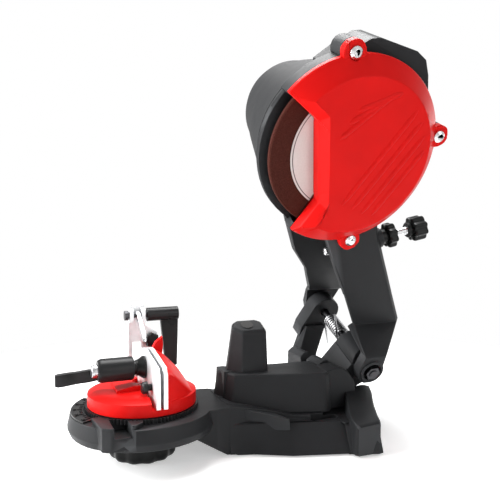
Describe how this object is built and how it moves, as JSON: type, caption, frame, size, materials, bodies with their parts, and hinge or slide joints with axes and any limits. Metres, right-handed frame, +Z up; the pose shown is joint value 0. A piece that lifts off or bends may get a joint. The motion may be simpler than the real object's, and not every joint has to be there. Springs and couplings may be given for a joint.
{
  "type": "electric chainsaw sharpener",
  "caption": "Bench grinder for saw chains: a hinged motor head with a red wheel cover swings down on a sprung leaning arm to a swivelling chain vise on a base.",
  "frame": {"origin": "on the flat underside of the base's rear part, on its middle plane, at bench level", "axes": "+Z up, +X towards the hinge, -Y towards the operator, who faces the wheel"},
  "size_m": [0.265, 0.1747, 0.2803],
  "materials": {
    "charcoal_plastic": "fine satin moulded surface",
    "red_plastic": "satin gloss, painted or moulded through",
    "black_plastic": "satin",
    "zinc": "bright zinc plated",
    "steel": "plain machined",
    "copper": "lacquered copper",
    "abrasive": "brown resin bonded grit",
    "label": "plain printed paper, left bare",
    "rubber": "matt"
  },
  "bodies": {
    "base": {"base_casting": "charcoal_plastic", "foot_pad_front_near": "rubber", "foot_pad_front_far": "rubber", "foot_pad_rear_near": "rubber", "foot_pad_rear_far": "rubber", "stop_pad": "rubber", "angle_scale": "black_plastic", "swivel_washer": "zinc"},
    "head": {"head_casting": "charcoal_plastic", "motor_shell": "charcoal_plastic", "stator": "steel", "field_winding_front": "copper", "field_winding_rear": "copper", "bearing_front": "steel", "bearing_rear": "steel", "brush_left": "black_plastic", "brush_right": "black_plastic", "brush_carrier": "black_plastic", "shell_screw_left": "zinc", "shell_screw_right": "zinc", "switch_body": "black_plastic", "wheel_cover": "red_plastic", "cover_screw_1": "zinc", "cover_screw_2": "zinc", "cover_screw_3": "zinc", "hinge_bolt": "zinc", "hinge_nut": "zinc", "torsion_spring": "steel"},
    "wheel": {"spindle": "steel", "inner_flange": "zinc", "grinding_disc": "abrasive", "disc_label": "label", "outer_flange": "zinc", "arbor_nut": "zinc", "armature": "steel", "commutator": "copper", "cooling_fan": "black_plastic"},
    "power_rocker": {"rocker": "red_plastic"},
    "depth_screw": {"depth_rod": "zinc"},
    "depth_dial": {"depth_knob": "black_plastic"},
    "depth_lock": {"depth_lock_knob": "black_plastic"},
    "vise": {"turntable": "red_plastic", "fixed_rail": "zinc", "guide_pin_near": "black_plastic", "guide_pin_far": "black_plastic", "clamp_bolt": "zinc", "clamp_nut": "zinc", "swivel_bolt": "zinc", "stop_bracket": "zinc", "bracket_screw": "steel"},
    "vise_lock": {"swivel_knob": "black_plastic"},
    "clamp_jaw": {"moving_rail": "zinc", "pressure_pad": "black_plastic"},
    "clamp_handle": {"clamp_lever": "black_plastic", "barrel_cap": "steel"},
    "chain_stop": {"stop_lever": "black_plastic", "stop_pawl": "zinc", "stop_pivot": "steel"},
    "stop_screw_rod": {"stop_screw": "zinc"},
    "stop_dial": {"stop_knob": "black_plastic"}
  },
  "joints": [
    {"name": "head_swing", "type": "hinge", "parent": "base", "child": "head", "pos_m": [0.0619, 0.0024, 0.06205], "axis": [0, -0.8988, -0.4384], "range_deg": [0, 47], "stiffness_Nm_per_rad": 1.6, "springref_deg": -40.11, "deforming": ["torsion_spring"]},
    {"name": "wheel_spin", "type": "hinge", "parent": "head", "child": "wheel", "pos_m": [0.0133, -0.068, 0.2064], "axis": [0, 0.8988, 0.4384], "continuous": true},
    {"name": "power_switch", "type": "hinge", "parent": "head", "child": "power_rocker", "pos_m": [0.0395, -0.07251, 0.26584], "axis": [0.165, -0.4324, 0.8865], "range_deg": [0, 9]},
    {"name": "depth_travel", "type": "slide", "parent": "head", "child": "depth_screw", "axis": [0.9699, -0.1068, 0.219], "range_m": [-0.005, 0.004]},
    {"name": "depth_turn", "type": "hinge", "parent": "depth_screw", "child": "depth_dial", "pos_m": [0.0219, -0.02636, 0.13814], "axis": [0.9699, -0.1068, 0.219], "range_deg": [-1802, 1442]},
    {"name": "depth_lock_turn", "type": "hinge", "parent": "head", "child": "depth_lock", "pos_m": [0.0219, -0.02636, 0.13814], "axis": [0.9699, -0.1068, 0.219], "range_deg": [0, 300]},
    {"name": "vise_swivel", "type": "hinge", "parent": "base", "child": "vise", "pos_m": [-0.105, 0, 0.033], "axis": [0, 0, 1], "range_deg": [-35, 35]},
    {"name": "vise_lock_turn", "type": "hinge", "parent": "base", "child": "vise_lock", "pos_m": [-0.105, 0, 0.006], "axis": [0, 0, 1], "range_deg": [-180, 0]},
    {"name": "jaw_travel", "type": "slide", "parent": "vise", "child": "clamp_jaw", "axis": [1, 0, 0], "range_m": [-0.002, 0.0014]},
    {"name": "clamp_turn", "type": "hinge", "parent": "clamp_jaw", "child": "clamp_handle", "pos_m": [-0.12, -0.005, 0.0615], "axis": [1, 0, 0], "range_deg": [-362, 254]},
    {"name": "chain_stop_flip", "type": "hinge", "parent": "vise", "child": "chain_stop", "pos_m": [-0.0886, 0.036, 0.0905], "axis": [1, 0, 0], "range_deg": [-100, 0]},
    {"name": "stop_travel", "type": "slide", "parent": "vise", "child": "stop_screw_rod", "axis": [0, -1, 0], "range_m": [0, 0.0042]},
    {"name": "stop_turn", "type": "hinge", "parent": "stop_screw_rod", "child": "stop_dial", "pos_m": [-0.0896, 0.036, 0.071], "axis": [0, -1, 0], "range_deg": [-2, 2162]}
  ],
  "couplings": [
    {"joint": "depth_turn", "follows": "depth_travel", "rad_per_m": 6283.2},
    {"joint": "clamp_turn", "follows": "jaw_travel", "rad_per_m": 3141.6},
    {"joint": "stop_turn", "follows": "stop_travel", "rad_per_m": 8976}
  ]
}
